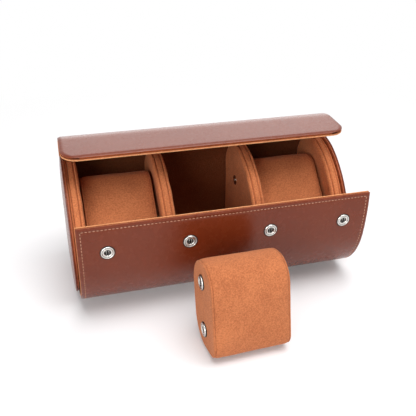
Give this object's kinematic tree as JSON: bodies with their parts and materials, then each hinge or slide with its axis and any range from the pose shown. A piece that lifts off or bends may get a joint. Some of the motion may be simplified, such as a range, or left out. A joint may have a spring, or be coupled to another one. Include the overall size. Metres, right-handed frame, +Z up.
{
  "type": "watch travel case",
  "caption": "Padded leather case with a hinged lid, a fold-down front flap and suede-lined slots that hold lift-out watch cushions between snap studs.",
  "frame": {"origin": "on the flat underside of the case, midway along its length", "axes": "+X along the case to the right, +Y to the back where the lid turns, +Z up"},
  "size_m": [0.23, 0.1878, 0.1213],
  "materials": {
    "leather": "smooth grained, soft sheen",
    "suede": "short napped microsuede",
    "board": "plain pressed fibreboard",
    "foam": "open-cell foam",
    "nickel": "bright nickel plate"
  },
  "bodies": {
    "case": {"outer_leather": "leather", "tray_shell": "board", "slot_lining_left": "suede", "slot_lining_middle": "suede", "slot_lining_right": "suede", "end_leather_left": "leather", "end_leather_right": "leather", "end_board_left": "board", "end_board_right": "board", "wall_left": "suede", "wall_right": "suede", "divider_left": "suede", "divider_right": "suede", "wall_board_left": "board", "wall_board_right": "board", "divider_board_left": "board", "divider_board_right": "board", "wall_studs_left": "nickel", "wall_studs_right": "nickel", "divider_studs_left": "nickel", "divider_studs_right": "nickel"},
    "lid": {"lid_leather": "leather", "lid_board": "board", "lid_lining": "suede", "lid_snap_studs": "nickel"},
    "front_flap": {"flap_leather": "leather", "flap_board": "board", "flap_lining": "suede", "flap_snap_sockets": "nickel", "flap_snap_backs": "nickel"},
    "cushion_left": {"cushion_left_cover": "suede", "cushion_left_core": "foam", "cushion_left_snaps": "nickel"},
    "cushion_middle": {"cushion_middle_cover": "suede", "cushion_middle_core": "foam", "cushion_middle_snaps": "nickel"},
    "cushion_right": {"cushion_right_cover": "suede", "cushion_right_core": "foam", "cushion_right_snaps": "nickel"}
  },
  "joints": [
    {"name": "lid_hinge", "type": "hinge", "parent": "case", "child": "lid", "pos_m": [0, 0.02, 0.073], "axis": [-1, 0, 0], "range_deg": [-50, 25]},
    {"name": "flap_hinge", "type": "hinge", "parent": "case", "child": "front_flap", "pos_m": [0, -0.0368, 0.00885], "axis": [1, 0, 0], "range_deg": [-38.5, 0]},
    {"name": "cushion_left_lift", "type": "slide", "parent": "case", "child": "cushion_left", "axis": [0, -0.7314, 0.682], "range_m": [0, 0.02]},
    {"name": "cushion_right_lift", "type": "slide", "parent": "case", "child": "cushion_right", "axis": [0, -0.7314, 0.682], "range_m": [0, 0.02]},
    {"name": "cushion_middle_slide", "type": "slide", "parent": "case", "child": "cushion_middle", "axis": [0, -1, 0], "range_m": [0, 0.06]}
  ]
}
